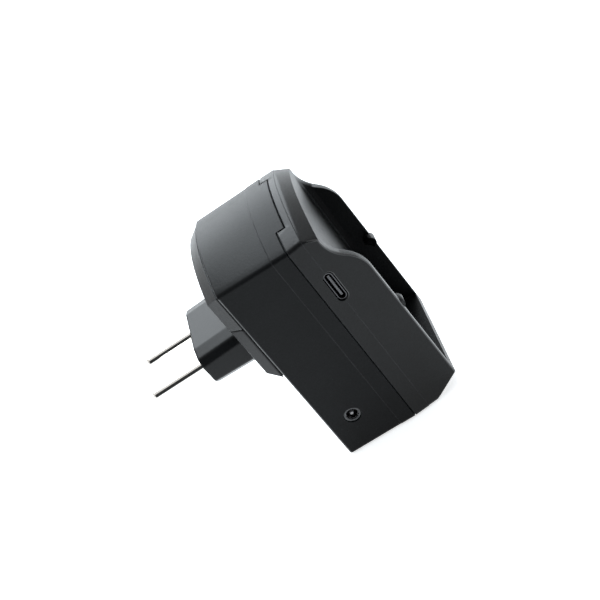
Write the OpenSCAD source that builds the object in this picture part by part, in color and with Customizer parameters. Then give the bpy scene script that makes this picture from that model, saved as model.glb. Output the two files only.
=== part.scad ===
// Plug-in battery charger: two-part moulded housing with an open battery bay,
// a bevelled back plate with a two-pin plug block, and the electronics inside.
// It stands on its flat end with the arched end up. Y = 0 is the parting plane
// between the two housings, the battery bay faces -Y and the plug pins +Y.

/* [Housing] */
// Depth of the rear housing, from the parting line to its back face
rear_depth = 23.7; // [22:0.1:30]
// Depth of the front housing, from the parting line to the lips
front_depth = 17.9; // [16.5:0.1:22]
// Width of the rear housing at its back face
back_w = 43.2; // [41:0.2:44]
// Width of both housings at the parting line
parting_w = 44.4; // [42.6:0.2:48]
// Width of the front housing across the outer lips
front_w = 40.8; // [40:0.2:43]
// Height from the flat end to the crown of the arched end
crown_h = 80; // [77:0.2:92]
// Radius of the arched end
arch_r = 61; // [50:1:90]
// Thickness of the housing walls
wall = 2; // [1.6:0.1:2.4]
// Radius of the rounded long edges of the housing
edge_r = 1.4; // [0.8:0.1:1.8]
// Half width of the raised band that runs round both sides of the parting line
band_half = 5.1; // [4:0.1:6]
// Height of the raised band above the housing walls
band_rise = 0.15; // [0.1:0.05:0.3]
// Width of the shadow groove on each side of the parting line
seam_w = 0.2; // [0.1:0.05:0.4]
// Depth of the shadow groove along the parting line
seam_depth = 0.35; // [0.2:0.05:0.6]

/* [Parting tongue] */
// Width of the tongue of the rear housing at the arched end
tongue_w = 28.2; // [20:0.2:32]
// How far the tongue reaches in front of the parting plane
tongue_reach = 2.8; // [1:0.1:4]
// Clearance between the tongue and its notch
tongue_gap = 0.1; // [0.05:0.05:0.3]

/* [Lips and bay] */
// Depth of the bay floor and the rim, in front of the parting plane
floor_depth = 9.4; // [9.2:0.1:11]
// Thickness of the bay floor
floor_t = 2.2; // [1.6:0.1:2.4]
// Thickness of the bay's side walls at the bay floor
lip_root_t = 3.2; // [2.8:0.1:3.8]
// Thickness of the lips, the free edges of the bay's side walls
lip_t = 1.7; // [1.4:0.1:2.2]
// Radius of the fillets between the bay floor and its side walls
bay_fillet = 2; // [0.5:0.1:3]
// Height of the inner face of the end wall at the lips
end_wall_h = 9.6; // [9:0.1:13]
// How much higher the end wall's inner face sits at the bay floor
end_wall_draft = 1.8; // [0.5:0.1:2.5]
// Height of the sloping front foot where it meets the lips
foot_h = 5.6; // [4.5:0.1:6.5]
// Depth in front of the parting plane where the sloping foot starts
foot_start = 7.6; // [6:0.1:9]
// Height of the lip corner above the sloping foot
lip_corner_h = 0.6; // [0.4:0.1:2]
// Height at which the lips start their sweep down to the rim
hump_h = 55.4; // [50:0.2:60]
// How much the lips fall back between the foot and the hump
lip_fall = 1; // [0.5:0.1:1.5]
// Radius of the rounded hump of each lip
hump_r = 12.4; // [9:0.1:14]
// Steepest angle of the sweep between hump and rim
sweep_a = 46; // [40:1:60]
// Depth of the bevel at the arched end, measured back from the rim
bevel_depth = 3.3; // [1.5:0.1:4]
// Angle of the bevel at the arched end
bevel_a = 31; // [10:1:36]
// Height of the battery retaining tabs on the lips
tab_h = 37.8; // [30:0.1:48]
// Radius of the rounded retaining tabs
tab_r = 2; // [1.8:0.1:3]
// How far the retaining tabs stand above the lips
tab_rise = 0.9; // [0.5:0.1:1.2]
// Width of the retaining tabs across the lip and into the bay
tab_t = 3.4; // [2.6:0.1:3.8]
// Distance between the outer face of the lips and the retaining tabs
tab_inset = 1.1; // [0.8:0.1:1.3]

/* [Back plate and plug block] */
// Width of the back plate where it lies on the housing
plate_w = 42; // [38:0.5:42.5]
// Height of the lower end of the back plate
plate_low = 39.5; // [36:0.5:42]
// Height of the seam between the cover and the plug block's plate
plate_seam = 61.5; // [60:0.1:64]
// Width of the seam between the two halves of the back plate
plate_gap = 0.3; // [0.2:0.05:0.5]
// Margin between the crown of the housing and the crown of the back plate
plate_margin = 0.8; // [0.6:0.1:2]
// Thickness of the back plate
plate_t = 4.2; // [2.5:0.1:4.5]
// How far the bevel of the back plate runs in on each side
plate_bevel = 2.6; // [1:0.1:3]
// Depth of the shadow gap under the edge of the back plate
plate_step = 0.4; // [0.2:0.1:0.6]
// Length of the plug block behind the back plate
block_l = 14.6; // [12:0.1:20]
// Width of the plug block
block_w = 29.6; // [28:0.2:34]
// Height of the plug block at its end face
block_h = 14; // [12:0.1:15]
// Extra height of the plug block at its root
block_taper = 1.2; // [0:0.1:1.5]
// Height of the two plug pins above the flat end
pin_h = 50.3; // [48:0.1:51]

/* [Plug pins] */
// Distance between the axes of the two plug pins
pin_pitch = 17.5; // [17.5:0.1:19]
// Diameter of the plug pins
pin_d = 4; // [3.5:0.1:4.8]
// Length of the plug pins outside the plug block
pin_l = 19.6; // [17:0.1:20]
// Diameter of the pins' thinner shanks inside the plug block
shank_d = 3.2; // [2.6:0.1:3.3]
// Height of the neck between the plug block and the full thickness of the pins
pin_neck = 0.2; // [0.1:0.05:0.4]

/* [Side ports] */
// Height of the centre of the slot port
port_h = 57.2; // [55:0.1:59]
// Depth of the centre of the slot port in front of the parting plane
port_depth = 5.1; // [4.9:0.1:5.4]
// Length of the slot port's opening
port_l = 11.2; // [10:0.1:12]
// Width of the slot port's opening
port_w = 3.3; // [3.2:0.1:3.6]
// Clearance between the metal shell of the slot port and its opening
port_gap = 0.25; // [0.15:0.05:0.4]
// Height of the centre of the round supply jack
jack_h = 13.8; // [12:0.1:15]
// Distance of the round supply jack behind the parting plane
jack_back = 15.3; // [14:0.1:16]
// Diameter of the round supply jack's opening
jack_d = 5.6; // [4.8:0.1:6]
// Diameter of the centre pin of the supply jack
jack_pin_d = 1.7; // [1.3:0.1:2]

/* [Inside] */
// Thickness of both circuit boards
board_t = 1.6; // [1:0.1:1.6]
// Width of both circuit boards
board_w = 33; // [32:0.5:34]
// Height of the lower edge of both circuit boards
board_low = 5.5; // [5:0.1:7]
// Height of the mains board's upper edge
mains_top = 60; // [58.5:0.2:61]
// Height of the charging board's upper edge
charge_top = 61; // [60.5:0.2:62]
// Distance between the mains board and the back wall
board_standoff = 1.6; // [1.2:0.1:2]
// Height of the lower pair of housing screws
screw_low = 24; // [23:0.5:25]
// Height of the upper pair of housing screws
screw_high = 66; // [65.5:0.5:66.5]
// Distance between the left and right housing screws
screw_pitch = 27; // [26:0.5:28]
// Thread diameter of the housing screws
screw_d = 2.4; // [2:0.1:2.6]
// Head diameter of the housing screws
screw_head_d = 4.4; // [4:0.1:4.6]
// Length of the housing screws under the head
screw_l = 12; // [10:0.5:12]
// Number of battery contacts
contact_count = 4; // [2:1:4]
// Distance between neighbouring battery contacts
contact_pitch = 5; // [4:0.1:6]
// Thickness of each battery contact blade
contact_t = 0.8; // [0.5:0.1:1]

/* [Hidden] */
$fn = 64;
// Reach of cutting shapes past the faces they cut
over = 1;
// Size that is larger than the whole object
far = 120;
// Slack that keeps two mating faces from meeting exactly
slack = 0.1;
// Ratio that turns a tangent round into one that meets its faces at a slight angle
soft = 1.25;

arch_z = crown_h - arch_r;
rim_y = -floor_depth;
lip_y = -front_depth;
floor_back_y = rim_y + floor_t;
inner_back_y = rear_depth - wall;
mains_back_y = inner_back_y - board_standoff;
mains_front_y = mains_back_y - board_t;
shell_r = port_w / 2 - port_gap;
charge_front_y = -port_depth + shell_r;
charge_back_y = charge_front_y + board_t;
plate_y = rear_depth + plate_t;
block_end_y = plate_y + block_l;
floor_half = half_w(rim_y) - lip_root_t;
open_half = half_w(lip_y) - lip_t;
pin_tip_y = block_end_y + pin_l;
screw_x = screw_pitch / 2;
screw_seat_y = rear_depth / 2;
boss_r = screw_head_d / 2 + 1.2;
contact_y = rim_y - 1.6;
contact_root = end_wall_h - wall;
foot_slope = foot_h / (front_depth - foot_start);
pocket_y = contact_y - 2;
pocket_low = foot_slope * (-pocket_y - foot_start) + wall * norm([1, foot_slope]);

// Half the outer width of the rear housing at depth y, narrowing to its back
function rear_w(y) = parting_w / 2 - (parting_w - back_w) / 2 * y / rear_depth;
// Half the outer width of the front housing at depth y, narrowing to the lips
function lip_w(y) = parting_w / 2 + (parting_w - front_w) / 2 * y / front_depth;
// Half the outer width of the whole housing at depth y
function half_w(y) = y >= 0 ? rear_w(y) : lip_w(y);
// Height of the arched end at the distance x from the middle
function arch_at(x) = arch_z + sqrt(arch_r * arch_r - x * x);
// Points of an arc about c from angle a0 to a1 in n steps
function arc(c, r, a0, a1, n) = [for (i = [0 : n]) let (a = a0 + (a1 - a0) * i / n)
    [c[0] + r * cos(a), c[1] + r * sin(a)]];

// Box between two corners
module span(low, high) {
    translate(low) cube(high - low);
}

// Box that reaches the same distance to the left and to the right
module wide(half, y0, y1, z0, z1) {
    span([-half, y0, z0], [half, y1, z1]);
}

// Cylinder along Y between two depths
module rod_y(x, z, r, y0, y1) {
    translate([x, y0, z]) rotate([-90, 0, 0]) cylinder(h = y1 - y0, r = r);
}

// Cylinder along X between two sides
module rod_x(y, z, r, x0, x1) {
    translate([x0, y, z]) rotate([0, 90, 0]) cylinder(h = x1 - x0, r = r);
}

// Profile in the YZ plane, extruded across the width
module across(half) {
    translate([-half, 0, 0]) rotate([90, 0, 90]) linear_extrude(2 * half) children();
}

// Slot outline with round ends, its length along the second axis
module slot_outline(length, width) {
    straight = length - width;
    square([width, straight], center = true);
    for (s = [-1, 1]) translate([0, s * straight / 2]) circle(d = width);
}

// Slot along X at the height z and the depth y
module slot_x(y, z, length, width, x0, x1) {
    translate([x0, y, z]) rotate([90, 0, 90]) linear_extrude(x1 - x0)
        slot_outline(length, width);
}

// Cutter that rounds a long edge running from a to b. The walls meet at the
// interior angle bend, and s is 1 at the right wall and -1 at the left one.
module edge_cutter(a, b, bend, s, up) {
    reach = edge_r * tan((180 - bend) / 2);
    half = (180 - bend) / 2;
    chord = reach * cos(half);
    run = norm(b - a);
    yaw = atan2(b[0] - a[0], b[1] - a[1]);
    pitch = atan2(b[2] - a[2], norm([b[0] - a[0], b[1] - a[1]]));
    round_r = edge_r * soft;
    sag = sqrt(round_r * round_r - chord * chord);
    slope = bend - 90;
    along = [-cos(slope), sin(slope)];
    away = [sin(slope), cos(slope)];
    p1 = [0, -reach];
    p2 = reach * along;
    mid = (p1 + p2) / 2;
    out = [cos(half), sin(half)];
    q1 = p1 - [0, over / 5];
    q2 = p2 + over / 5 * along;
    translate(a) rotate([0, 0, -yaw]) rotate([pitch, 0, 0]) translate([0, -over, 0])
        rotate([90, 0, 0]) mirror([0, 0, 1]) linear_extrude(run + 2 * over)
            mirror([s < 0 ? 1 : 0, 0]) mirror([0, up ? 0 : 1]) difference() {
                polygon([q1 - [slack, 0], q1 + [3, 0], [3, 3], q2 + 3 * away, q2 - slack * away]);
                translate(mid - sag * out) circle(r = round_r);
            }
}

// Rounds of the four long edges between y0 and y1, where the half widths are w0 and w1
module long_edges(y0, y1, w0, w1, g) {
    bend = 90 + asin((w0 + w1 + 2 * g) / 2 / (arch_r + g));
    for (s = [-1, 1]) {
        edge_cutter([s * (w0 + g), y0, arch_at(w0 + g) + g],
            [s * (w1 + g), y1, arch_at(w1 + g) + g], bend, s, true);
        edge_cutter([s * (w0 + g), y0, 0], [s * (w1 + g), y1, 0], 90, s, false);
    }
}

// Block under the arched end between two depths, grown by g
module arched_block(y0, y1, w0, w1, g) {
    intersection() {
        linear_extrude(far) polygon([[w0 + g, y0], [w1 + g, y1], [-w1 - g, y1], [-w0 - g, y0]]);
        rod_y(0, arch_z, arch_r + g, y0 - over, y1 + over);
        wide(far, y0 - over, y1 + over, 0, far);
    }
}

// Outer form of the rear housing grown by g, carried on in front of the parting plane
module rear_form(g) {
    y0 = -band_half - over;
    difference() {
        arched_block(y0, rear_depth + min(g, 0), rear_w(y0), rear_w(rear_depth), g);
        long_edges(y0, rear_depth, rear_w(y0), rear_w(rear_depth), g);
    }
}

// Outer form of the front housing grown by g, carried on behind the parting plane
module front_form(g) {
    y0 = lip_y - over;
    difference() {
        intersection() {
            arched_block(y0, over, lip_w(y0), lip_w(over), g);
            translate([0, rim_y + bevel_depth, crown_h + g]) rotate([bevel_a, 0, 0])
                rotate([-90, 0, 0]) translate([0, arch_r, -far])
                    cylinder(h = 2 * far, r = arch_r);
        }
        long_edges(y0, over, lip_w(y0), lip_w(over), g);
    }
}

// Region behind the parting line, with the tongue, pulled back by e
module rear_region(e) {
    wide(far, e, far, -over, far);
    wide(tongue_w / 2 - e, -tongue_reach + e, 2 * e + slack, crown_h / 2, far);
}

// Side outline of the front housing: sloping foot, lips, S-shaped sweep and rim
module side_outline() {
    lip_z = foot_h + lip_corner_h;
    lean = atan(lip_fall / (hump_h - lip_z));
    hump_y = lip_y + lip_fall;
    rise = hump_r * (cos(lean) - cos(sweep_a));
    sweep_r = (rim_y - hump_y - rise) / (1 - cos(sweep_a));
    hump_c = [hump_y + hump_r * cos(lean), hump_h - hump_r * sin(lean)];
    knee = hump_c + hump_r * [-cos(sweep_a), sin(sweep_a)];
    sweep_c = knee + sweep_r * [-cos(sweep_a), sin(sweep_a)];
    polygon(concat(
        [[over, -over], [over, 0], [-foot_start, 0], [lip_y, foot_h], [lip_y, lip_z]],
        arc(hump_c, hump_r, 180 - lean, 180 - sweep_a, 12),
        arc(sweep_c, sweep_r, -sweep_a, 0, 12),
        [[rim_y, far], [over + far / 4, far], [over + far / 4, -over]]));
}

// Battery bay, open towards the lips and the arched end
module bay() {
    flare = (open_half - floor_half) / (front_depth - floor_depth);
    lean = atan(flare);
    r = bay_fillet;
    // centre of the fillet that touches the floor and the leaning wall
    cx = floor_half - r * tan(45 - lean / 2);
    right = concat(
        [[open_half + flare * 2 * over, lip_y - 2 * over]],
        arc([cx, rim_y - r], r, -lean, 90, 8));
    intersection() {
        translate([0, 0, -over]) linear_extrude(far)
            polygon(concat(right, [for (i = [len(right) - 1 : -1 : 0]) [-right[i][0], right[i][1]]]));
        across(far) polygon([
            [rim_y + over, end_wall_h + end_wall_draft * (1 + over / floor_depth)],
            [lip_y - 2 * over, end_wall_h - over / 4],
            [lip_y - 2 * over, far], [rim_y + over, far]]);
    }
}

// Hollow of both housings behind the bay floor
module hollow() {
    in_back = half_w(rear_depth) - wall;
    in_mid = parting_w / 2 - wall;
    in_front = half_w(floor_back_y) - wall;
    intersection() {
        linear_extrude(far) polygon([
            [in_front, floor_back_y], [in_mid, 0], [in_back, inner_back_y],
            [-in_back, inner_back_y], [-in_mid, 0], [-in_front, floor_back_y]]);
        rod_y(0, arch_z, arch_r - wall, floor_back_y, inner_back_y);
        wide(far, floor_back_y, inner_back_y, wall, far);
    }
    // space inside the sloping foot, behind the end wall
    across(half_w(floor_back_y) - 2 * wall) polygon([
        [floor_back_y + slack, wall + 1],
        [floor_back_y + slack, end_wall_h - wall + slack],
        [pocket_y, end_wall_h - wall + slack], [pocket_y, pocket_low]]);
}

// Positions of the four housing screws
module at_screws() {
    for (x = [-screw_x, screw_x], z = [screw_low, screw_high]) translate([x, 0, z]) children();
}

// Positions of the battery contacts across the bay
module at_contacts() {
    for (i = [0 : contact_count - 1])
        translate([(i - (contact_count - 1) / 2) * contact_pitch, 0, 0]) children();
}

// Front moulding with the bay, lips, tabs, posts and screw bosses
module front_housing() {
    color("#26282a") difference() {
        union() {
            difference() {
                intersection() {
                    union() {
                        intersection() {
                            front_form(0);
                            wide(far, lip_y - over, -band_half, 0, far);
                        }
                        difference() {
                            intersection() {
                                front_form(band_rise);
                                wide(far, -band_half, over, 0, far);
                            }
                            rear_region(-seam_w - tongue_gap);
                        }
                        difference() {
                            front_form(-seam_depth);
                            rear_region(0);
                        }
                    }
                    across(far) side_outline();
                }
                wide(tongue_w / 2 + tongue_gap, -tongue_reach - tongue_gap, over, crown_h / 2, far);
                bay();
                hollow();
            }
            // screw bosses that meet the rear housing's tubes
            at_screws() rod_y(0, 0, boss_r - 0.6, floor_back_y - slack, screw_seat_y - wall);
            // posts that carry the charging board
            for (x = [-1, 1], z = [board_low + 3, charge_top - 19])
                rod_y(x * (board_w / 2 - 3), z, 1.6, floor_back_y - slack, charge_front_y);
            // retaining tabs on the lips
            for (s = [-1, 1]) {
                x = s * (half_w(lip_y) - tab_t / 2 - tab_inset);
                y = lip_y + lip_fall * (tab_h - foot_h) / (hump_h - foot_h);
                rod_x(y + tab_r - tab_rise, tab_h, tab_r, x - tab_t / 2, x + tab_t / 2);
            }
        }
        // pilot holes of the housing screws
        at_screws() rod_y(0, 0, screw_d / 2 - 0.2, screw_seat_y - wall - screw_l + over,
            screw_seat_y);
        // opening of the slot port
        slot_x(-port_depth, port_h, port_l, port_w, -half_w(0) - over, wall - floor_half);
        // slots that let the contact blades through the end wall
        at_contacts() span([-contact_t / 2 - 0.2, contact_y - 1.5, contact_root],
            [contact_t / 2 + 0.2, contact_y + 1.5, end_wall_h + end_wall_draft + over]);
    }
}

// Rear moulding with the tongue, screw tubes, board posts and plug openings
module rear_housing() {
    color("#26282a") difference() {
        union() {
            difference() {
                union() {
                    intersection() {
                        rear_form(0);
                        wide(far, band_half, far, 0, far);
                    }
                    intersection() {
                        rear_form(band_rise);
                        wide(far, -band_half, band_half, 0, far);
                        rear_region(seam_w);
                    }
                    intersection() {
                        rear_form(-seam_depth);
                        rear_region(0);
                    }
                }
                hollow();
            }
            // tubes for the housing screws
            at_screws() rod_y(0, 0, boss_r, screw_seat_y - wall, inner_back_y + slack);
            // posts that carry the mains board
            for (x = [-1, 1], z = [board_low + 5, mains_top - 4])
                rod_y(x * 5, z, 1.6, mains_back_y, inner_back_y + slack);
        }
        // screw holes with their head seats
        at_screws() {
            rod_y(0, 0, screw_d / 2 + 0.2, screw_seat_y - wall - over, rear_depth + over);
            rod_y(0, 0, screw_head_d / 2 + 0.2, screw_seat_y, rear_depth + over);
        }
        // openings for the roots of the plug pins
        for (s = [-1, 1]) rod_y(s * pin_pitch / 2, pin_h, shank_d / 2 + 1, inner_back_y - over,
            rear_depth + over);
        // opening of the supply jack
        rod_x(jack_back, jack_h, jack_d / 2, -half_w(0) - over, -half_w(rear_depth) + 2 * wall);
    }
}

// Bevelled plate outline between two heights, lying on the housing's back face
module plate_form(z0, z1) {
    r = arch_r - plate_margin;
    half = plate_w / 2;
    mid_y = rear_depth + plate_step;
    slope = plate_bevel / (plate_t - plate_step);
    intersection() {
        translate([0, 0, z0]) linear_extrude(z1 - z0) polygon([
            [half - plate_step, rear_depth], [half - plate_step, mid_y],
            [half, mid_y], [half - plate_bevel, plate_y], [plate_bevel - half, plate_y],
            [-half, mid_y], [plate_step - half, mid_y], [plate_step - half, rear_depth]]);
        union() {
            rod_y(0, arch_z, r - plate_step, rear_depth, mid_y);
            translate([0, mid_y, arch_z]) rotate([-90, 0, 0])
                cylinder(h = plate_t - plate_step, r1 = r, r2 = r - plate_bevel);
        }
        across(far) polygon([
            [rear_depth, plate_low + plate_step], [mid_y, plate_low + plate_step],
            [mid_y, plate_low], [plate_y, plate_low + plate_bevel],
            [plate_y, far], [rear_depth, far]]);
    }
}

// Arched upper half of the back plate
module cover_plate() {
    color("#2b2d2f") plate_form(plate_seam + plate_gap, far);
}

// Outline of the plug block, with the extra height e shared by top and bottom
module block_outline(e) {
    half = block_w / 2;
    h = block_h / 2 + e;
    r = 1.5;
    hull() {
        for (s = [-1, 1]) {
            translate([s * (pin_pitch / 2 + 0.3), h - r]) circle(r = r, $fn = 32);
            translate([s * (half - 1 - r), h - 1 - r]) circle(r = r, $fn = 32);
            translate([s * (half - r), h - 2.6 - r]) circle(r = r, $fn = 32);
            translate([s * (half - 0.3 - r), -h + 2.8 + r]) circle(r = r, $fn = 32);
            translate([s * (half - 2.4 - 2 * r), -h + 2 * r]) circle(r = 2 * r, $fn = 32);
        }
    }
}

// Lower half of the back plate with the plug block that carries the pins
module plug_block() {
    color("#2b2d2f") difference() {
        union() {
            plate_form(0, plate_seam);
            hull() {
                for (y = [[rear_depth + plate_t / 2, block_taper / 2], [block_end_y, 0]])
                    translate([0, y[0], pin_h]) rotate([90, 0, 0]) linear_extrude(0.02)
                        block_outline(y[1]);
            }
        }
        for (s = [-1, 1]) rod_y(s * pin_pitch / 2, pin_h, shank_d / 2 + 0.02,
            rear_depth - over, block_end_y + over);
    }
}

// Round plug pin with a domed tip, a thinner shank in the block and a solder tail
module plug_pin(s) {
    dome = pin_d * 0.3;
    neck_y = block_end_y + pin_neck;
    color("#c9cbcc") translate([s * pin_pitch / 2, 0, pin_h]) rotate([-90, 0, 0])
        rotate_extrude() polygon(concat(
            [[0, mains_front_y - 1.5], [0.6, mains_front_y - 1.5], [0.6, inner_back_y - 0.4],
            [shank_d / 2, inner_back_y - 0.4], [shank_d / 2, neck_y], [pin_d / 2, neck_y],
            [pin_d / 2, pin_tip_y - dome]],
            [for (i = [1 : 6]) [pin_d / 2 * cos(15 * i), pin_tip_y - dome + dome * sin(15 * i)]]));
}

module plug_pin_near() {
    plug_pin(-1);
}

module plug_pin_far() {
    plug_pin(1);
}

// Spring strips that press on the pin roots and run down to the mains board
module pin_contact_springs() {
    color("#b08d4a") for (s = [-1, 1]) translate([s * pin_pitch / 2, 0, pin_h])
        difference() {
            span([-2.4, mains_front_y - 0.5, -2.4], [2.4, mains_front_y, 2.4]);
            rod_y(0, 0, 0.62, mains_front_y - over, mains_front_y + over);
        }
}

// Pan-head screws that hold the housings together from behind
module housing_screws() {
    color("#8d9092") at_screws() difference() {
        union() {
            rod_y(0, 0, screw_d / 2 - 0.2, screw_seat_y - screw_l, screw_seat_y + slack);
            rod_y(0, 0, screw_head_d / 2, screw_seat_y, screw_seat_y + 1.8);
        }
        for (a = [0, 90]) rotate([0, a, 0])
            span([-1.2, screw_seat_y + 0.9, -0.3], [1.2, screw_seat_y + 2, 0.3]);
    }
}

// Metal shell of the slot port
module usb_port_shell() {
    x0 = -half_w(-port_depth) + 0.4;
    color("#a4a7aa") difference() {
        slot_x(-port_depth, port_h, port_l - 2 * port_gap, 2 * shell_r, x0, x0 + 8);
        slot_x(-port_depth, port_h, port_l - 2 * port_gap - 0.6, 2 * shell_r - 0.6,
            x0 - over, x0 + 7);
    }
}

// Contact tongue inside the slot port
module usb_port_tongue() {
    x0 = -half_w(-port_depth) + 0.9;
    color("#3a3d40") translate([x0, -port_depth - 0.35, port_h - (port_l - 3) / 2])
        cube([6.5, 0.7, port_l - 3]);
}

// Moulded body of the round supply jack, standing on the mains board
module supply_jack_body() {
    x0 = -half_w(jack_back) + 0.4;
    x1 = -half_w(rear_depth) + wall + 0.3;
    color("#1d1e20") difference() {
        union() {
            rod_x(jack_back, jack_h, jack_d / 2 - 0.15, x0, x1 + 1);
            span([x1, jack_back - 3.4, jack_h - 3.6], [x1 + 10, mains_front_y, jack_h + 3.6]);
        }
        rod_x(jack_back, jack_h, jack_d / 2 - 0.75, x0 - over, x1 + 8.5);
    }
}

// Centre pin of the supply jack
module supply_jack_pin() {
    x0 = -half_w(jack_back) + 1;
    x1 = -half_w(rear_depth) + wall + 0.3;
    color("#d8d8d4") translate([x0, jack_back, jack_h]) rotate([0, 90, 0]) {
        translate([0, 0, 0.5]) cylinder(h = x1 + 8.5 - x0 - 0.5, r = jack_pin_d / 2);
        cylinder(h = 0.5, r1 = jack_pin_d / 2 - 0.35, r2 = jack_pin_d / 2);
    }
}

// Leaf spring that touches the plug's barrel inside the supply jack
module supply_jack_spring() {
    x1 = -half_w(rear_depth) + wall + 0.3;
    bore_r = jack_d / 2 - 0.75;
    low = jack_h - sqrt(bore_r * bore_r - 0.36) + 0.02;
    color("#b08d4a") span([x1 + 1.5, jack_back - 0.6, low], [x1 + 8.4, jack_back + 0.6, low + 0.3]);
}

// Insulating block behind the end wall that holds the contact blades
module battery_contact_block() {
    half = (contact_count - 1) / 2 * contact_pitch + 2;
    color("#1d1e20") difference() {
        wide(half, contact_y - 1.5, floor_back_y - 0.2, contact_root - 1.6, contact_root);
        at_contacts() span([-contact_t / 2 - 0.02, contact_y - 1.2, 0],
            [contact_t / 2 + 0.02, contact_y + 1.2, far]);
    }
}

// Contact blades that reach through the end wall into the bay
module battery_contacts() {
    color("#c8a44e") at_contacts() {
        span([-contact_t / 2, contact_y - 1.2, contact_root - 2.1],
            [contact_t / 2, contact_y + 1.2, end_wall_h + end_wall_draft + 2.6]);
        span([-contact_t / 2, contact_y + 1, contact_root - 2.8],
            [contact_t / 2, charge_front_y, contact_root - 1.7]);
    }
}

// Circuit board outline with notches around the screw bosses
module board(y0, y1, top) {
    difference() {
        wide(board_w / 2, y0, y1, board_low, top);
        at_screws() rod_y(0, 0, boss_r + 0.3, y0 - over, y1 + over);
        for (s = [-1, 1]) wide_notch(s, y0, y1);
    }
}

// Notch that opens the board towards its side at each lower screw boss
module wide_notch(s, y0, y1) {
    translate([s * (screw_x + far / 2), 0, 0])
        wide(far / 2, y0 - over, y1 + over, screw_low - boss_r - 0.3, screw_low + boss_r + 0.3);
}

// Charging board under the bay floor
module charge_board() {
    color("#2f6b42") board(charge_front_y, charge_back_y, charge_top);
}

// Charging controller chip
module charge_chip() {
    color("#1b1c1e") {
        span([-2.5, charge_back_y, 42], [2.5, charge_back_y + 1.2, 48]);
        for (s = [-1, 1], i = [0 : 3])
            span([s * 3.1 - 0.6, charge_back_y, 42.6 + 1.5 * i],
                [s * 3.1 + 0.6, charge_back_y + 0.3, 43.1 + 1.5 * i]);
    }
}

// Wound storage coil of the charging circuit
module charge_coil() {
    color("#4a4c4e") translate([7, charge_back_y, 52]) rotate([-90, 0, 0]) rotate_extrude()
        polygon([[0, 0], [3.4, 0], [3.4, 0.7], [2.9, 0.9], [2.9, 2.5], [3.4, 2.7], [3.4, 3.4], [0, 3.4]]);
}

// Pins that join the two circuit boards
module board_link_pins() {
    color("#c8a44e") for (i = [0 : 3])
        span([-3.81 + 2.54 * i - 0.32, charge_back_y, 8],
            [-3.81 + 2.54 * i + 0.32, mains_front_y, 8.64]);
}

// Mains board on posts in front of the back wall
module mains_board() {
    color("#2f6b42") difference() {
        board(mains_front_y, mains_back_y, mains_top);
        for (s = [-1, 1]) rod_y(s * pin_pitch / 2, pin_h, 0.62, mains_front_y - over,
            mains_back_y + over);
    }
}

// Ferrite core of the transformer, two E halves glued into one frame
module transformer_core() {
    y1 = mains_front_y - 1.2;
    color("#3b3c3f") difference() {
        span([-6, y1 - 13, 22], [10, y1, 27]);
        span([-4, y1 - 11.4, 21], [0, y1 - 1.6, 28]);
        span([4, y1 - 11.4, 21], [8, y1 - 1.6, 28]);
    }
}

// Bobbin that carries the winding and stands on the mains board
module transformer_bobbin() {
    y1 = mains_front_y - 1.2;
    color("#d7d2c4") difference() {
        union() {
            span([-3.8, y1 - 11.2, 18.6], [7.8, y1 - 10.2, 30.4]);
            span([-3.8, y1 - 2.8, 18.6], [7.8, y1 - 1.8, 30.4]);
            span([-0.8, y1 - 11.2, 21.2], [4.8, y1 - 1.8, 27.8]);
            for (z = [17.6, 29.4]) span([-3.8, y1 - 2.8, z], [7.8, mains_front_y, z + 2]);
        }
        span([-0.05, y1 - 12, 21.95], [4.05, y1, 27.05]);
    }
}

// Taped copper winding round the bobbin
module transformer_winding() {
    y1 = mains_front_y - 1.2;
    color("#c9a227") difference() {
        translate([2, y1 - 10.15, 24.5]) rotate([-90, 0, 0]) intersection() {
            cylinder(h = 7.3, r = 5.9);
            translate([-5.7, -5.7, 0]) cube([11.4, 11.4, 7.3]);
        }
        span([-0.85, y1 - 12, 21.15], [4.85, y1, 27.85]);
        for (x = [[-7, -3.75], [7.75, 11]]) span([x[0], y1 - 12, 21.9], [x[1], y1, 27.1]);
    }
}

// Sealed electrolytic can standing on the mains board, with a grooved sleeve
module can(x, z, r, length) {
    translate([x, mains_front_y, z]) rotate([90, 0, 0]) rotate_extrude() polygon([
        [0, 0], [r - 0.3, 0], [r, 0.3], [r, 1], [r - 0.35, 1.3], [r - 0.35, 1.6], [r, 1.9],
        [r, length - 0.4], [r - 0.4, length], [0, length]]);
}

// Two mains smoothing capacitors
module input_capacitors() {
    color("#20242c") for (z = [34, 43]) can(11.5, z, 4, 13);
}

// Output smoothing capacitor
module output_capacitor() {
    color("#2b3a55") can(11.5, 14, 3.2, 11);
}

// Fusible resistor standing beside the plug pins
module fuse_resistor() {
    color("#8aa9a0") translate([0, mains_front_y - 2.2, 53]) rotate([0, 90, 0])
        translate([0, 0, -4]) rotate_extrude() polygon([
            [0, -2], [0.3, -2], [0.3, 0], [1.6, 0], [2, 0.4], [2, 1.6], [1.7, 2.2], [1.7, 5.8],
            [2, 6.4], [2, 7.6], [1.6, 8], [0.3, 8], [0.3, 10], [0, 10]]);
}

// Bridge rectifier
module rectifier() {
    color("#1b1c1e") {
        span([-2.4, mains_front_y - 2.4, 44], [2.4, mains_front_y - 0.3, 48]);
        for (x = [-1.3, 1.3], z = [43.2, 48]) span([x - 0.4, mains_front_y - 0.5, z],
            [x + 0.4, mains_front_y, z + 0.8]);
    }
}

// Mains switching controller chip
module control_chip() {
    color("#1b1c1e") {
        span([-12, mains_front_y - 3.2, 33], [-6, mains_front_y - 0.6, 41]);
        for (x = [-12.5, -5.9], i = [0 : 3])
            span([x, mains_front_y - 1.9, 33.3 + 2.2 * i], [x + 0.4, mains_front_y, 34 + 2.2 * i]);
    }
}

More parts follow.
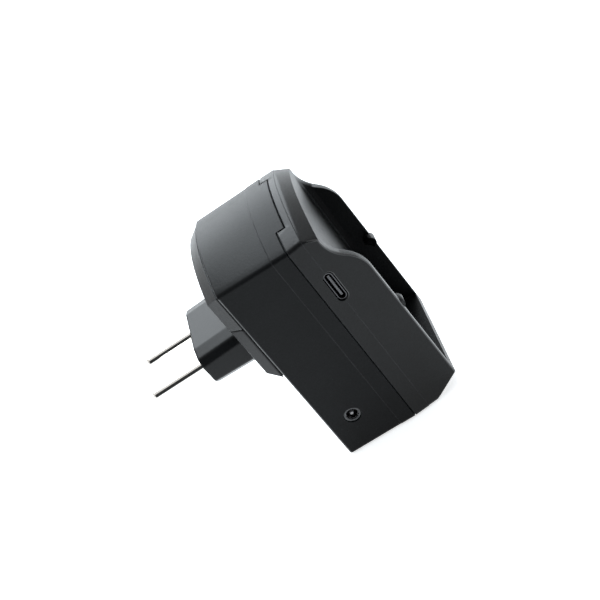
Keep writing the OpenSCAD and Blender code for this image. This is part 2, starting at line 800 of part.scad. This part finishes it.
// Disc safety capacitor between the mains side and the output side
module safety_capacitor() {
    color("#2d63a8") translate([-9.5, mains_front_y, 44.5]) rotate([90, 0, 0]) {
        translate([0, 0, 5]) rotate([0, 90, 90]) cylinder(h = 2.6, r = 3.6, center = true);
        for (s = [-1, 1]) translate([s * 2.2, 0, 0]) cylinder(h = 3, r = 0.3);
    }
}

// Drum choke at the mains input
module mains_choke() {
    color("#4a4c4e") translate([-1, mains_front_y, 38.5]) rotate([90, 0, 0]) rotate_extrude()
        polygon([[0, 0], [3, 0], [3, 1], [2.6, 1.2], [2.6, 5.8], [3, 6], [3, 7], [0, 7]]);
}

front_housing();
rear_housing();
cover_plate();
plug_block();
plug_pin_near();
plug_pin_far();
pin_contact_springs();
housing_screws();
usb_port_shell();
usb_port_tongue();
supply_jack_body();
supply_jack_pin();
supply_jack_spring();
battery_contact_block();
battery_contacts();
charge_board();
charge_chip();
charge_coil();
board_link_pins();
mains_board();
transformer_core();
transformer_bobbin();
transformer_winding();
input_capacitors();
output_capacitor();
fuse_resistor();
rectifier();
control_chip();
safety_capacitor();
mains_choke();
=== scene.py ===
import math
import bpy
import bmesh
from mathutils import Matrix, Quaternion, Vector


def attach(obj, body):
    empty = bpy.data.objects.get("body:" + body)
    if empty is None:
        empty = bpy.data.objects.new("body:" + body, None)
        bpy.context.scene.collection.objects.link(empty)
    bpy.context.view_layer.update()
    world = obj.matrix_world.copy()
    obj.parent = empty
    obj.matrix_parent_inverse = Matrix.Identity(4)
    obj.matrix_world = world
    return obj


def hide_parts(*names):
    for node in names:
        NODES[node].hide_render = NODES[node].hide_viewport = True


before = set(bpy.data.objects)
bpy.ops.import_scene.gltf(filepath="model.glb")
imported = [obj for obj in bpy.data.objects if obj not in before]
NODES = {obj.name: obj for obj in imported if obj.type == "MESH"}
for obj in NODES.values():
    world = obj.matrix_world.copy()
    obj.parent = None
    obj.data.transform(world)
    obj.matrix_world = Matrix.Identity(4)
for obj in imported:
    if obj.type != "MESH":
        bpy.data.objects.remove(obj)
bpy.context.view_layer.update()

MM = 0.001
scene = bpy.context.scene
scene.view_settings.view_transform = "Standard"

# Camera, fitted to the photograph

SENSOR_WIDTH = 36.0
LENS = 83.943
CLIP_START = 0.01
CLIP_END = 20.0
CAMERA_PLACE = (-0.347387, -0.060267, 0.28286)
CAMERA_TURN = Quaternion((-0.4553642, -0.4431612, 0.1585353, 0.7557236))

# Places on the CAD housings

ARCH_Z = 19.0 * MM
ARCH_R = 61.0 * MM
ARCH_MARGIN = 1.0 * MM
PARTING_HALF = 22.2 * MM
LIP_HALF = 20.4 * MM
LIP_DEPTH = 17.9 * MM
LIP_START_Y = -5.3 * MM
LIP_MARGIN = 0.3 * MM
BACK_Y = 23.7 * MM
BACK_MARGIN = 0.2 * MM
BACK_SIDE_BAND = 1.4 * MM
BAY_FLOOR_Y = -6.5 * MM
BAY_WALL_X = 15.0 * MM
BAY_END_Z = (1.0 * MM, 16.0 * MM)
BAY_END_HALF = 18.5 * MM
TAB_Z = 37.8 * MM
TAB_REACH = 2.05 * MM
TAB_INNER_X = (15.0 * MM, 18.3 * MM)
TAB_FROM_Y = -13.0 * MM
TAB_LIP_Y = -17.26 * MM
TAB_THICKNESS = 0.7 * MM

# Rounding and shading of the housings

FRONT_ROUND = 0.4 * MM
BACK_ROUND = 0.5 * MM
FRONT_SHARP = 22.0
BACK_SHARP = 60.0
ROUND_STEPS = 3
MERGE = 0.002 * MM
SAME_PLANE = 0.6
SHELL_SHARP = 28
FLAT_AREA = 100.0 * MM * MM
LEVEL_NORMAL = 0.9999
WALL_NORMAL = 0.7
END_NORMAL = 0.4
# Slots of the rounded copies: plain plastic, rounded edges painted lighter as a highlight, bay
# painted darker as shade
MOULDED_SLOT, POLISHED_HIGHLIGHT_SLOT, BAY_SHADE_SLOT = 0, 1, 2

# Sleeve in the bore of the supply jack

SLEEVE_MOUTH_X = -20.9 * MM
SLEEVE_BACK_X = -14.0 * MM
SLEEVE_Y = 15.3 * MM
SLEEVE_Z = 13.8 * MM
SLEEVE_R = 2.02 * MM
SLEEVE_WALL = 0.12 * MM
SLEEVE_START = 250
SLEEVE_SWEEP = 350
SLEEVE_STEPS = 40
SLEEVE_SHARP = 40

# Stage and light, in metres and watts

CENTRE = Vector((0.0, 0.01, 0.04))
STAGE_DISTANCE = 1.1
WHITE = (1.0, 1.0, 1.0)
COOL_WHITE = (0.88, 0.95, 1.0)
FLOOR_GREY = (0.8, 0.8, 0.8)
FLOOR_SIZE = 8.0
FLOOR_Z = -0.2 * MM
FLOOR_GLOW = 0.7
FLAG_SIDE = Vector((-0.87, -0.12, 0.48)).normalized()
FLAG_WIDTH = 1.6
FLAG_HEIGHT = 1.25

# Noises of the materials, each as scale, detail and roughness

GRAIN_NOISE = (1500.0, 3.0, 0.7)
MOTTLE_NOISE = (160.0, 4.0, 0.6)
SHEEN_NOISE = (28.0, 2.0, 0.5)
MARK_NOISE = (2500.0, 3.0, 0.6)
STAIN_NOISE = (260.0, 4.0, 0.6)
NOISE_SPAN = (0.3, 0.7)

# Other values of the materials

BEVEL_SAMPLES = 6
EDGE_COSINE = 0.9
GRAIN_DEPTH = 0.06 * MM
MARK_DEPTH = 0.02 * MM
FINE_DEPTH = 0.03 * MM
MOULDED_EDGE = 0.35 * MM
BLOCK_EDGE = 0.9 * MM
FINE_EDGE = 0.1 * MM
# Painted highlight: how much lighter the edge colour is painted; the smoothing below is real
# polish
EDGE_HIGHLIGHT_BRIGHTER = 8.0
WORN_SMOOTHER = 0.15
MARK_STRENGTH = 0.12
TURNED_STRETCH = 3.0
DRAWN_STRETCH = 0.08
TARNISH = 0.75
FINER = 8.0

# Circuit board

TRACK_SCALE = 260.0
TRACK_WIDTH = 0.03
TRACK_BUMP = 0.2
MASK_NOISE_SCALE = 3000.0
MASK_GREEN = (0.012, 0.10, 0.035)
MASK_GREEN_LIGHT = (0.015, 0.12, 0.045)
TRACK_GREEN = (0.03, 0.20, 0.07)

# Darker and lighter tone of each mottled material

TONES = {
    "housing_black": ((0.002, 0.0023, 0.0025), (0.0035, 0.004, 0.0044)),
    "rear_black": ((0.0025, 0.003, 0.0033), (0.004, 0.0045, 0.005)),
    # Painted shade: a darker black for the inside of the battery bay
    "bay_painted_shade": ((0.0012, 0.0014, 0.0015), (0.002, 0.0022, 0.0024)),
    # Painted highlight: a lighter black for the rounded edges, which are also polished smoother
    "polished_edge_highlight": ((0.006, 0.0065, 0.007), (0.010, 0.011, 0.012)),
    "plate_black": ((0.005, 0.0055, 0.006), (0.0085, 0.0092, 0.01)),
    "block_black": ((0.0035, 0.0038, 0.0042), (0.0045, 0.005, 0.0055)),
    "inner_black": ((0.012, 0.012, 0.013), (0.02, 0.02, 0.021)),
    # Painted light: the port tongue is a grey made lighter to stand for the lit inside of the port
    "tongue_grey_painted_light": ((0.07, 0.07, 0.073), (0.11, 0.11, 0.115)),
    # Painted light: the jack body is lighter than black plastic so that its bore looks lit
    "socket_grey_painted_light": ((0.035, 0.036, 0.038), (0.06, 0.061, 0.064)),
    "ferrite": ((0.02, 0.02, 0.022), (0.035, 0.035, 0.037)),
    "bobbin_plastic": ((0.60, 0.56, 0.46), (0.70, 0.66, 0.55)),
    "winding_tape": ((0.55, 0.36, 0.04), (0.68, 0.47, 0.07)),
    "capacitor_sleeve": ((0.012, 0.016, 0.035), (0.02, 0.026, 0.055)),
    "resistor_coat": ((0.25, 0.37, 0.33), (0.33, 0.46, 0.41)),
    "safety_coat": ((0.02, 0.10, 0.33), (0.03, 0.14, 0.42)),
    "flag_cloth": ((0.008, 0.008, 0.008), (0.012, 0.012, 0.012)),
}

# Colour of each metal

METALS = {
    "pin_nickel": (0.74, 0.72, 0.69),
    # Painted shade: the port shell is far darker than nickel, standing for the shade inside the
    # port
    "shell_nickel_painted_dark": (0.07, 0.07, 0.073),
    "steel": (0.62, 0.62, 0.63),
    "jack_pin_grey": (0.22, 0.22, 0.225),
    "contact_gold": (0.83, 0.62, 0.30),
}


def make_camera():
    data = bpy.data.cameras.new("camera")
    data.sensor_width = SENSOR_WIDTH
    data.lens = LENS
    data.clip_start = CLIP_START
    data.clip_end = CLIP_END
    camera = bpy.data.objects.new("camera", data)
    scene.collection.objects.link(camera)
    camera.rotation_mode = "QUATERNION"
    camera.rotation_quaternion = CAMERA_TURN
    camera.location = CAMERA_PLACE
    scene.camera = camera


def rgba(colour):
    return (*colour, 1.0)


class Nodes:
    """Short helper that builds a material's node tree."""

    def __init__(self, name):
        self.mat = bpy.data.materials.new(name)
        self.mat.use_nodes = True
        self.tree = self.mat.node_tree
        self.tree.nodes.clear()
        self.out = self.add("ShaderNodeOutputMaterial")
        self.bsdf = self.add("ShaderNodeBsdfPrincipled")
        self.link(self.bsdf.outputs[0], self.out.inputs[0])

    def add(self, kind, **props):
        node = self.tree.nodes.new(kind)
        for key, value in props.items():
            setattr(node, key, value)
        return node

    def link(self, a, b):
        self.tree.links.new(a, b)

    def coords(self):
        return self.add("ShaderNodeTexCoord").outputs["Object"]

    def mapping(self):
        node = self.add("ShaderNodeMapping")
        self.link(self.coords(), node.inputs["Vector"])
        return node

    def noise(self, scale, detail=3.0, rough=0.5, vector=None):
        node = self.add("ShaderNodeTexNoise")
        node.inputs["Scale"].default_value = scale
        node.inputs["Detail"].default_value = detail
        node.inputs["Roughness"].default_value = rough
        self.link(vector or self.coords(), node.inputs["Vector"])
        return node.outputs["Fac"]

    def ramp(self, fac, low, high, a, b):
        node = self.add("ShaderNodeMapRange")
        self.link(fac, node.inputs["Value"])
        for key, value in (("From Min", low), ("From Max", high), ("To Min", a), ("To Max", b)):
            node.inputs[key].default_value = value
        return node.outputs["Result"]

    def spread(self, noise, a, b):
        """Stretches the usual span of a noise from a to b."""
        return self.ramp(noise, *NOISE_SPAN, a, b)

    def math(self, op, a, b):
        node = self.add("ShaderNodeMath", operation=op)
        for i, value in enumerate((a, b)):
            if isinstance(value, (int, float)):
                node.inputs[i].default_value = value
            else:
                self.link(value, node.inputs[i])
        return node.outputs[0]

    def mix(self, fac, a, b):
        node = self.add("ShaderNodeMix", data_type="RGBA")
        self.link(fac, node.inputs["Factor"])
        for key, value in (("A", a), ("B", b)):
            socket = [s for s in node.inputs if s.name == key and s.type == "RGBA"][0]
            if isinstance(value, tuple):
                socket.default_value = rgba(value)
            else:
                self.link(value, socket)
        return [s for s in node.outputs if s.type == "RGBA"][0]

    def round_edges(self, radius):
        node = self.add("ShaderNodeBevel", samples=BEVEL_SAMPLES)
        node.inputs["Radius"].default_value = radius
        return node.outputs["Normal"]

    def edge_mask(self, radius):
        """About 1 on sharp edges and 0 on flat faces."""
        bevel = self.round_edges(radius)
        geo = self.add("ShaderNodeNewGeometry")
        dot = self.add("ShaderNodeVectorMath", operation="DOT_PRODUCT")
        self.link(bevel, dot.inputs[0])
        self.link(geo.outputs["Normal"], dot.inputs[1])
        return self.ramp(dot.outputs["Value"], 1.0, EDGE_COSINE, 0.0, 1.0)

    def bump(self, height, strength, distance, normal=None):
        node = self.add("ShaderNodeBump")
        node.inputs["Strength"].default_value = strength
        node.inputs["Distance"].default_value = distance
        self.link(height, node.inputs["Height"])
        if normal is not None:
            self.link(normal, node.inputs["Normal"])
        return node.outputs["Normal"]

    def set(self, **values):
        """Sets or links inputs of the shader; _ in a name stands for a space."""
        for key, value in values.items():
            socket = self.bsdf.inputs[key.replace("_", " ")]
            if isinstance(value, (int, float)):
                socket.default_value = value
            elif isinstance(value, tuple):
                socket.default_value = rgba(value)
            else:
                self.link(value, socket)


def moulded(name, rough, grain=0.10, edge=MOULDED_EDGE, wear_and_highlight=0.5, gloss=0.3):
    """Black moulded plastic with spark-eroded grain, faint mottling, edges polished smoother and a
    painted highlight that lightens the edges.
    """
    dark, light = TONES[name]
    n = Nodes(name)
    fine = n.noise(*GRAIN_NOISE)
    mottle = n.noise(*MOTTLE_NOISE)
    sheen = n.noise(*SHEEN_NOISE)
    # Edge mask: smoother edges are real polish, the lighter edge colour is a painted highlight
    polish_and_highlight_mask = n.math("MULTIPLY", n.edge_mask(edge), n.ramp(mottle, 0.35, 0.75, 0.3 * wear_and_highlight, wear_and_highlight))
    base = n.mix(n.spread(mottle, 0.0, 1.0), dark, light)
    # Painted highlight: the edges are painted lighter than the plastic
    base = n.mix(polish_and_highlight_mask, base, tuple(min(1.0, c * EDGE_HIGHLIGHT_BRIGHTER) for c in light))
    uneven = n.spread(fine, rough - 0.03, rough + 0.03)
    roughness = n.math("ADD", uneven, n.spread(sheen, -0.015, 0.015))
    roughness = n.math("SUBTRACT", roughness, n.math("MULTIPLY", polish_and_highlight_mask, WORN_SMOOTHER))
    normal = n.bump(fine, grain, GRAIN_DEPTH, n.round_edges(edge))
    n.set(Base_Color=base, Roughness=roughness, Normal=normal, IOR=1.5, Specular_IOR_Level=gloss)
    return n.mat


def metal(name, rough, turned=False):
    """Metal with fine turned or drawn marks and a little tarnish."""
    colour = METALS[name]
    n = Nodes(name)
    mapping = n.mapping()
    stretch = TURNED_STRETCH if turned else DRAWN_STRETCH
    mapping.inputs["Scale"].default_value = (1.0, stretch, 1.0)
    marks = n.noise(*MARK_NOISE, mapping.outputs["Vector"])
    stain = n.noise(*STAIN_NOISE)
    base = n.mix(n.ramp(stain, 0.35, 0.8, 0.0, 0.35), colour, tuple(c * TARNISH for c in colour))
    uneven = n.spread(marks, rough * 0.8, rough * 1.2)
    roughness = n.math("ADD", uneven, n.ramp(stain, 0.4, 0.8, 0.0, 0.06))
    normal = n.bump(marks, MARK_STRENGTH, MARK_DEPTH, n.round_edges(FINE_EDGE))
    n.set(Base_Color=base, Metallic=1.0, Roughness=roughness, Normal=normal)
    return n.mat


def plain(name, rough, scale=400.0, bump=0.15):
    """Two-tone mottled surface with a fine bump, for small parts and the flag."""
    dark, light = TONES[name]
    n = Nodes(name)
    mottle = n.noise(scale, 4.0, 0.6)
    fine = n.noise(scale * FINER, 2.0, 0.5)
    n.set(
        Base_Color=n.mix(n.spread(mottle, 0.0, 1.0), dark, light),
        Roughness=n.spread(fine, rough - 0.05, rough + 0.05),
        Normal=n.bump(fine, bump, FINE_DEPTH, n.round_edges(FINE_EDGE)),
    )
    return n.mat


def board_material():
    """Green solder mask over copper tracks."""
    n = Nodes("board_green")
    mapping = n.mapping()
    mapping.inputs["Rotation"].default_value = (math.radians(90), 0.0, 0.0)
    brick = n.add("ShaderNodeTexBrick")
    n.link(mapping.outputs["Vector"], brick.inputs["Vector"])
    brick.inputs["Scale"].default_value = TRACK_SCALE
    brick.inputs["Mortar Size"].default_value = TRACK_WIDTH
    brick.inputs["Color1"].default_value = rgba(MASK_GREEN)
    brick.inputs["Color2"].default_value = rgba(MASK_GREEN_LIGHT)
    brick.inputs["Mortar"].default_value = rgba(TRACK_GREEN)
    n.set(
        Base_Color=brick.outputs["Color"],
        Roughness=n.spread(n.noise(MASK_NOISE_SCALE), 0.25, 0.35),
        Normal=n.bump(brick.outputs["Fac"], TRACK_BUMP, FINE_DEPTH),
    )
    return n.mat


def paint(material, *names):
    """Gives CAD nodes one material."""
    for name in names:
        slots = NODES[name].data.materials
        slots.clear()
        slots.append(material)


def dress_outside():
    """Back plate, plug, ports and screws."""
    paint(moulded("plate_black", rough=0.42, grain=1.0, gloss=0.28), "cover_plate")
    block = moulded("block_black", rough=0.34, grain=0.2, edge=BLOCK_EDGE, wear_and_highlight=0.1, gloss=0.15)
    paint(block, "plug_block")
    paint(metal("pin_nickel", rough=0.06, turned=True), "plug_pin_near", "plug_pin_far")
    paint(metal("shell_nickel_painted_dark", rough=0.35), "usb_port_shell")
    paint(plain("tongue_grey_painted_light", rough=0.35), "usb_port_tongue")
    paint(plain("socket_grey_painted_light", rough=0.25), "supply_jack_body")
    dull = metal("jack_pin_grey", rough=0.40)
    paint(dull, "supply_jack_pin")
    make_jack_sleeve(dull)
    paint(metal("steel", rough=0.28), "housing_screws")


def dress_inside():
    """Contacts, and the boards with their parts."""
    inner = moulded("inner_black", rough=0.45, edge=FINE_EDGE)
    paint(inner, "battery_contact_block", "charge_chip", "rectifier", "control_chip")
    gold = metal("contact_gold", rough=0.24)
    paint(gold, "pin_contact_springs", "supply_jack_spring", "battery_contacts", "board_link_pins")
    paint(board_material(), "charge_board", "mains_board")
    ferrite = plain("ferrite", rough=0.6, scale=600.0, bump=0.4)
    paint(ferrite, "charge_coil", "transformer_core", "mains_choke")
    paint(plain("bobbin_plastic", rough=0.45), "transformer_bobbin")
    paint(plain("winding_tape", rough=0.3), "transformer_winding")
    paint(plain("capacitor_sleeve", rough=0.3), "input_capacitors", "output_capacitor")
    paint(plain("resistor_coat", rough=0.5), "fuse_resistor")
    paint(plain("safety_coat", rough=0.35), "safety_capacitor")


def make_object(name, bm, *materials):
    """Turns the result of mesh code into an object with its materials."""
    mesh = bpy.data.meshes.new(name)
    bm.to_mesh(mesh)
    bm.free()
    for material in materials:
        mesh.materials.append(material)
    made = bpy.data.objects.new(name, mesh)
    scene.collection.objects.link(made)
    return made


def on_arch(p):
    """True on the outer skin of the arched end."""
    return math.hypot(p.x, p.z - ARCH_Z) > ARCH_R - ARCH_MARGIN


def in_bay(face, centre):
    """True on the inner walls of the battery bay and on the inside of its end wall."""
    low, high = BAY_END_Z
    inward = face.normal.x * centre.x < 0 and abs(face.normal.x) > WALL_NORMAL
    side = inward and abs(centre.x) > BAY_WALL_X
    end = face.normal.z > END_NORMAL and low < centre.z < high and abs(centre.x) < BAY_END_HALF
    return centre.y < BAY_FLOOR_Y and (side or end)


def is_sharp(edge, least):
    return edge.calc_face_angle(0.0) > math.radians(least)


def middle(edge):
    return (edge.verts[0].co + edge.verts[1].co) / 2


def front_edge(edge):
    """Outer edges of the lips, the foot and the bevel at the arched end."""
    p = middle(edge)
    skin = PARTING_HALF + (PARTING_HALF - LIP_HALF) * p.y / LIP_DEPTH
    outer = abs(p.x) > skin - LIP_MARGIN or on_arch(p)
    return p.y < LIP_START_Y and outer and is_sharp(edge, FRONT_SHARP)


def back_edge(edge):
    """Edges round the back face of the rear housing."""
    p = middle(edge)
    outer = abs(p.x) > PARTING_HALF - BACK_SIDE_BAND or p.z < BACK_MARGIN or on_arch(p)
    return p.y > BACK_Y - BACK_MARGIN and outer and is_sharp(edge, BACK_SHARP)


def flatten_tab(p):
    """Thins the inner part of the retaining tabs, which are full discs in the solid."""
    near, far = TAB_INNER_X
    if abs(p.z - TAB_Z) < TAB_REACH and near < abs(p.x) < far and p.y < TAB_FROM_Y:
        p.y = min(p.y, TAB_LIP_Y + TAB_THICKNESS)


def sort_faces(bm):
    """Marks the flat faces for flat shading, and gives the rounded edges their slot with the
    painted highlight and the bay its slot with the painted shade.
    """
    for face in bm.faces:
        centre = face.calc_center_median()
        level = max(abs(face.normal.y), abs(face.normal.z)) > LEVEL_NORMAL
        face.smooth = on_arch(centre) or not (level or face.calc_area() > FLAT_AREA)
        if face.material_index and on_arch(centre):
            face.material_index = MOULDED_SLOT
        elif in_bay(face, centre):
            # Painted shade: the inner walls of the bay get the darker material
            face.material_index = BAY_SHADE_SLOT


def rounded_copy(node, name, pick, radius, materials, reshape=None):
    """Copy of a CAD node whose picked edges are rounded; it stands for the node."""
    source = NODES[node]
    bm = bmesh.new()
    bm.from_mesh(source.data)
    bmesh.ops.transform(bm, matrix=source.matrix_world, verts=bm.verts)
    bmesh.ops.remove_doubles(bm, verts=bm.verts, dist=MERGE)
    same_plane = math.radians(SAME_PLANE)
    bmesh.ops.dissolve_limit(bm, angle_limit=same_plane, verts=bm.verts, edges=bm.edges)
    edges = [edge for edge in bm.edges if edge.is_manifold and pick(edge)]
    bmesh.ops.bevel(
        bm, geom=edges, offset=radius, segments=ROUND_STEPS, profile=0.5,
        affect="EDGES", clamp_overlap=False, material=POLISHED_HIGHLIGHT_SLOT,
    )
    if reshape:
        for vert in bm.verts:
            reshape(vert.co)
    bmesh.ops.dissolve_degenerate(bm, dist=MERGE, edges=bm.edges)
    sort_faces(bm)
    off_arch = [face for face in bm.faces if not on_arch(face.calc_center_median())]
    bmesh.ops.triangulate(bm, faces=off_arch, ngon_method="BEAUTY")
    smooth = [face.smooth for face in bm.faces]
    piece = make_object(name, bm, *materials)
    piece.data.set_sharp_from_angle(angle=math.radians(SHELL_SHARP))
    # Set after the sharp edges, because that call makes every face smooth
    piece.data.polygons.foreach_set("use_smooth", smooth)
    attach(piece, "root")
    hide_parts(node)


def make_housings():
    """Materials of the two housings, and the rounded copies that stand for them."""
    front = moulded("housing_black", rough=0.40, grain=0.8, gloss=0.19)
    rear = moulded("rear_black", rough=0.40, grain=0.8, gloss=0.10)
    # Painted shade: darker copy of the housing black for the inner walls of the bay
    bay = moulded("bay_painted_shade", rough=0.45, grain=0.8, gloss=0.05)
    # Rounded edges: polished smoother, and painted lighter as a highlight
    edge = moulded("polished_edge_highlight", rough=0.20, gloss=0.5)
    paint(front, "front_housing")
    paint(rear, "rear_housing")
    front_slots = (front, edge, bay)
    rounded_copy("front_housing", "front_shell", front_edge, FRONT_ROUND, front_slots, flatten_tab)
    rounded_copy("rear_housing", "rear_shell", back_edge, BACK_ROUND, (rear, edge, bay))


def sleeve_ring(bm, x, radius):
    """Open ring of points round the axis of the supply jack."""
    ring = []
    for i in range(SLEEVE_STEPS + 1):
        a = math.radians(SLEEVE_START + SLEEVE_SWEEP * i / SLEEVE_STEPS)
        place = (x, SLEEVE_Y + radius * math.cos(a), SLEEVE_Z + radius * math.sin(a))
        ring.append(bm.verts.new(place))
    return ring


def make_jack_sleeve(material):
    """Slit metal sleeve inside the bore of the supply jack."""
    inner = SLEEVE_R - SLEEVE_WALL
    mouth, back = SLEEVE_MOUTH_X, SLEEVE_BACK_X
    bm = bmesh.new()
    corners = ((mouth, SLEEVE_R), (back, SLEEVE_R), (back, inner), (mouth, inner))
    rings = [sleeve_ring(bm, x, radius) for x, radius in corners]
    for a, b in zip(rings, rings[1:] + rings[:1]):
        for i in range(SLEEVE_STEPS):
            bm.faces.new((a[i], a[i + 1], b[i + 1], b[i]))
    bm.faces.new([ring[0] for ring in rings])
    bm.faces.new([ring[-1] for ring in reversed(rings)])
    bmesh.ops.recalc_face_normals(bm, faces=bm.faces)
    for face in bm.faces:
        face.smooth = True
    piece = make_object("supply_jack_sleeve", bm, material)
    piece.data.set_sharp_from_angle(angle=math.radians(SLEEVE_SHARP))
    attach(piece, "root")


def background_rays(tree):
    """Gives 1 for the rays that see the background: from the camera, glossy and through glass."""
    path = tree.nodes.new("ShaderNodeLightPath")
    seen = path.outputs["Is Camera Ray"]
    for ray in ("Is Glossy Ray", "Is Transmission Ray"):
        either = tree.nodes.new("ShaderNodeMath")
        either.operation = "MAXIMUM"
        tree.links.new(seen, either.inputs[0])
        tree.links.new(path.outputs[ray], either.inputs[1])
        seen = either.outputs[0]
    return seen


def floor_material():
    """Matt white that takes the shadow and glows only for the rays that see the background."""
    n = Nodes("floor_white")
    n.set(Base_Color=FLOOR_GREY, Roughness=0.9, Specular_IOR_Level=0.0)
    glow = n.add("ShaderNodeEmission")
    glow.inputs["Color"].default_value = rgba(WHITE)
    n.link(n.math("MULTIPLY", background_rays(n.tree), FLOOR_GLOW), glow.inputs["Strength"])
    both = n.add("ShaderNodeAddShader")
    n.link(n.bsdf.outputs[0], both.inputs[0])
    n.link(glow.outputs[0], both.inputs[1])
    n.link(both.outputs[0], n.out.inputs[0])
    return n.mat


def make_card(name, width, height, material):
    """Flat sheet of the stage, with its centre at the origin."""
    bm = bmesh.new()
    bmesh.ops.create_grid(bm, x_segments=2, y_segments=2, size=0.5)
    bmesh.ops.scale(bm, vec=(width, height, 1.0), verts=bm.verts)
    return make_object(name, bm, material)


def make_floor():
    floor = make_card("floor", FLOOR_SIZE, FLOOR_SIZE, floor_material())
    floor.location = (0.0, 0.0, FLOOR_Z)


def make_world():
    """Even cool light, and plain white for the rays that see the background."""
    world = bpy.data.worlds.new("world")
    scene.world = world
    world.use_nodes = True
    tree = world.node_tree
    tree.nodes.clear()
    light = tree.nodes.new("ShaderNodeBackground")
    light.inputs["Color"].default_value = rgba(COOL_WHITE)
    backdrop = tree.nodes.new("ShaderNodeBackground")
    backdrop.inputs["Color"].default_value = rgba(WHITE)
    mix = tree.nodes.new("ShaderNodeMixShader")
    tree.links.new(background_rays(tree), mix.inputs[0])
    tree.links.new(light.outputs[0], mix.inputs[1])
    tree.links.new(backdrop.outputs[0], mix.inputs[2])
    out = tree.nodes.new("ShaderNodeOutputWorld")
    tree.links.new(mix.outputs[0], out.inputs[0])


def make_flag():
    """Dark card on the camera's side, as studios use to draw a black line along bright metal."""
    cloth = plain("flag_cloth", rough=0.9, scale=40.0)
    flag = make_card("flag", FLAG_WIDTH, FLAG_HEIGHT, cloth)
    flag.location = CENTRE + FLAG_SIDE * STAGE_DISTANCE
    flag.rotation_mode = "QUATERNION"
    flag.rotation_quaternion = FLAG_SIDE.to_track_quat("Z", "Y")
    flag.visible_camera = False
    flag.visible_shadow = False


def softbox(name, direction, width, height, watts):
    """Rectangular lamp that faces the object from a direction."""
    data = bpy.data.lights.new(name, "AREA")
    data.shape = "RECTANGLE"
    data.size = width
    data.size_y = height
    data.energy = watts
    data.color = COOL_WHITE
    lamp = bpy.data.objects.new(name, data)
    scene.collection.objects.link(lamp)
    side = Vector(direction).normalized()
    lamp.location = CENTRE + side * STAGE_DISTANCE
    lamp.rotation_mode = "QUATERNION"
    lamp.rotation_quaternion = (-side).to_track_quat("-Z", "Y")


def make_lights():
    softbox("overhead", (0.4, 0.05, 0.9), width=0.7, height=0.7, watts=15.0)
    softbox("backdrop", (0.85, 0.12, 0.44), width=0.85, height=0.85, watts=12.2)
    softbox("rim", (0.81, -0.56, 0.14), width=0.5, height=0.25, watts=1.6)


make_camera()
make_housings()
dress_outside()
dress_inside()
make_floor()
make_world()
make_flag()
make_lights()
